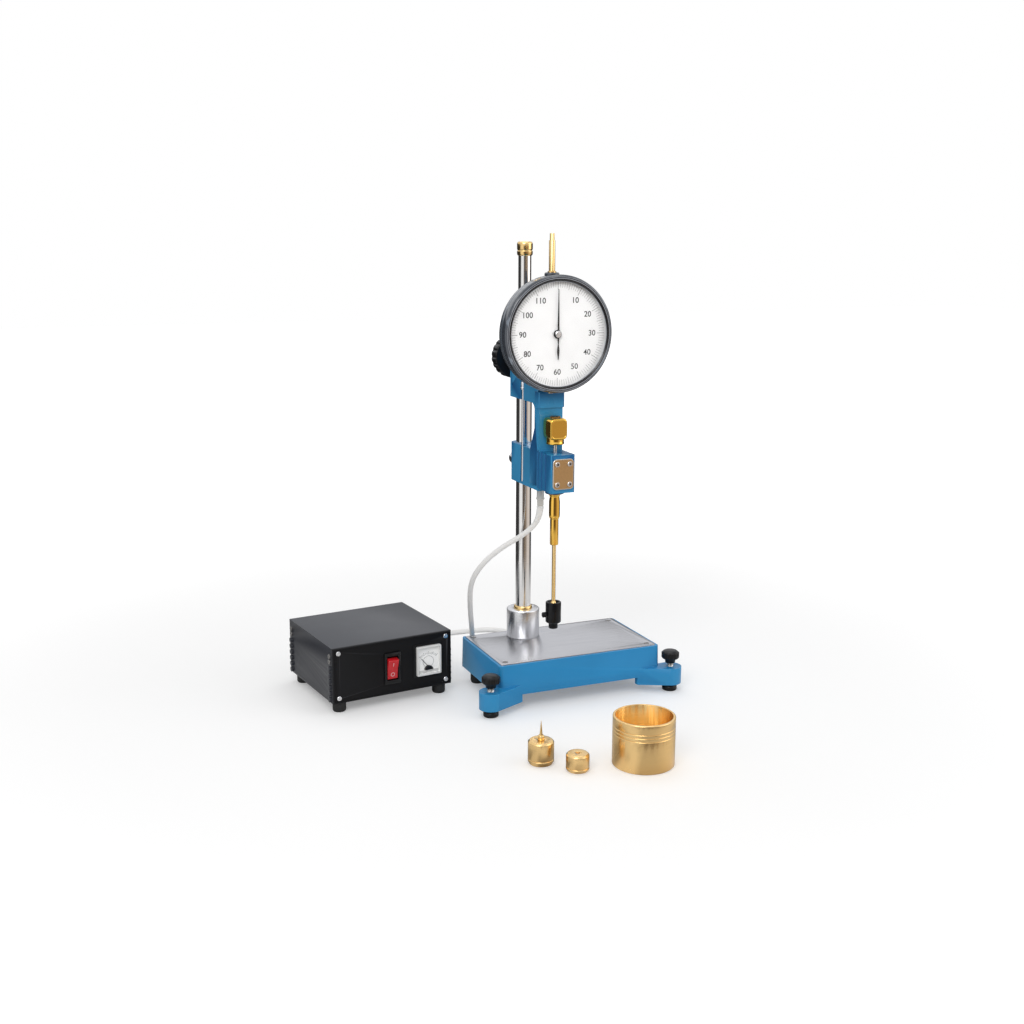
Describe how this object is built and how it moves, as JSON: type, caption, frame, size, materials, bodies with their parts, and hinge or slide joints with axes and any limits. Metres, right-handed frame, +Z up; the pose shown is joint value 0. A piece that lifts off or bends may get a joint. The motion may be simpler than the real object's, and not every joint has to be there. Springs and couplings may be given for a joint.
{
  "type": "bench penetrometer",
  "caption": "Bench penetrometer: levelled base, column with sliding dial head and plunger, control box on a cable, sample cup, weights and needle.",
  "frame": {"origin": "middle of the set's footprint, cable and its plugs left out, on the table top", "axes": "+Z up along the column, -Y towards the operator, +X to the operator's right with the control box at -X"},
  "size_m": [0.4104, 0.4978, 0.5145],
  "materials": {
    "blue_paint": "semi-gloss enamel on a casting",
    "dark_blue_paint": "satin enamel",
    "ground_steel": "ground",
    "chromed_steel": "polished plating",
    "bright_steel": "bright turned",
    "turned_aluminium": "turned",
    "brass": "turned and lacquered",
    "black_plastic": "moulded",
    "black_paint": "fine satin",
    "dark_paint": "satin",
    "black_rubber": "plain",
    "white_face": "printed card",
    "clear_glass": "clear",
    "clear_plastic": "clear moulded",
    "red_plastic": "moulded",
    "white_plastic": "moulded",
    "copper_wire": "enamelled winding",
    "green_board": "laminate",
    "iron_core": "varnished laminations",
    "white_cable": "smooth sheath"
  },
  "bodies": {
    "stand": {"base_casting": "blue_paint", "top_plate": "ground_steel", "plate_screws": "bright_steel", "rear_feet": "black_rubber", "column": "ground_steel", "column_bolt": "bright_steel", "column_cap": "brass", "column_socket": "turned_aluminium", "socket_collar": "brass", "box_chassis": "black_paint", "box_cover": "black_paint", "front_panel": "black_paint", "panel_screws": "bright_steel", "box_feet": "black_rubber", "switch_frame": "black_plastic", "meter_case": "white_plastic", "meter_window": "clear_plastic", "transformer": "iron_core", "timer_board": "green_board", "mains_inlet": "black_plastic", "signal_socket": "turned_aluminium", "box_plug": "turned_aluminium", "signal_cable": "white_cable", "sample_cup": "brass", "weight_hundred": "brass", "weight_fifty": "brass", "test_needle": "brass"},
    "head": {"head_casting": "blue_paint", "lower_cover": "dark_blue_paint", "guide_tube": "brass", "magnet_bobbin": "black_plastic", "magnet_winding": "copper_wire", "clutch_sleeve": "bright_steel", "guide_rod": "bright_steel", "front_plate": "brass", "front_plate_screws": "bright_steel", "clamp_bolt": "bright_steel", "head_plug": "turned_aluminium", "dial_case": "dark_paint", "rack_glands": "bright_steel"},
    "bezel_ring": {"bezel": "dark_paint", "crystal": "clear_glass", "dial_face": "white_face"},
    "rack_rod": {"rack": "brass"},
    "pointer_arbor": {"pinion": "brass", "pointer": "black_paint"},
    "clamp": {"clamp_stud": "bright_steel", "clamp_knob": "black_plastic"},
    "plunger": {"spindle": "bright_steel", "plunger_rod": "brass", "plunger_head": "brass", "chuck": "black_plastic"},
    "chuck_thumb_screw": {"chuck_screw": "bright_steel"},
    "left_foot": {"left_level_pad": "turned_aluminium"},
    "left_screw": {"left_level_screw": "bright_steel"},
    "right_foot": {"right_level_pad": "turned_aluminium"},
    "right_screw": {"right_level_screw": "bright_steel"},
    "switch_rocker": {"rocker": "red_plastic"},
    "meter_hand": {"meter_needle": "black_paint"}
  },
  "joints": [
    {"name": "head_slide", "type": "slide", "parent": "stand", "child": "head", "axis": [0, 0, 1], "range_m": [-0.018, 0.05], "deforming": ["signal_cable"]},
    {"name": "clamp_turn", "type": "hinge", "parent": "head", "child": "clamp", "pos_m": [0.05005, 0.11447, 0.3768], "axis": [0, 1, 0], "range_deg": [0, 180]},
    {"name": "plunger_slide", "type": "slide", "parent": "head", "child": "plunger", "axis": [0, 0, 1], "range_m": [-0.0085, 0]},
    {"name": "chuck_screw_turn", "type": "hinge", "parent": "plunger", "child": "chuck_thumb_screw", "pos_m": [0.04205, 0.01047, 0.103], "axis": [1, 0, 0], "range_deg": [0, 180]},
    {"name": "rack_slide", "type": "slide", "parent": "head", "child": "rack_rod", "axis": [0, 0, 1], "range_m": [-0.024, 0]},
    {"name": "pointer_turn", "type": "hinge", "parent": "head", "child": "pointer_arbor", "pos_m": [0.05055, 0.00947, 0.4105], "axis": [0, 1, 0], "range_deg": [-722, 2]},
    {"name": "bezel_turn", "type": "hinge", "parent": "head", "child": "bezel_ring", "pos_m": [0.05055, 0.00947, 0.4105], "axis": [0, 1, 0], "range_deg": [-180, 180]},
    {"name": "left_foot_slide", "type": "slide", "parent": "stand", "child": "left_foot", "axis": [0, 0, -1], "range_m": [0, 0.004]},
    {"name": "left_screw_turn", "type": "hinge", "parent": "left_foot", "child": "left_screw", "pos_m": [-0.03005, -0.00363, 0.01], "axis": [0, 0, 1], "range_deg": [-1155, 1]},
    {"name": "right_foot_slide", "type": "slide", "parent": "stand", "child": "right_foot", "axis": [0, 0, -1], "range_m": [0, 0.004]},
    {"name": "right_screw_turn", "type": "hinge", "parent": "right_foot", "child": "right_screw", "pos_m": [0.19215, -0.00363, 0.01], "axis": [0, 0, 1], "range_deg": [-1155, 1]},
    {"name": "switch_tilt", "type": "hinge", "parent": "stand", "child": "switch_rocker", "pos_m": [-0.11751, 0.0758, 0.042], "axis": [0.9925, 0.1219, 0], "range_deg": [-24, 0]},
    {"name": "meter_swing", "type": "hinge", "parent": "stand", "child": "meter_hand", "pos_m": [-0.07335, 0.0772, 0.0365], "axis": [-0.1219, 0.9925, 0], "range_deg": [0, 80]}
  ],
  "couplings": [
    {"joint": "pointer_turn", "follows": "rack_slide", "rad_per_m": 523.6},
    {"joint": "left_screw_turn", "follows": "left_foot_slide", "rad_per_m": -5026.5},
    {"joint": "right_screw_turn", "follows": "right_foot_slide", "rad_per_m": -5026.5}
  ]
}
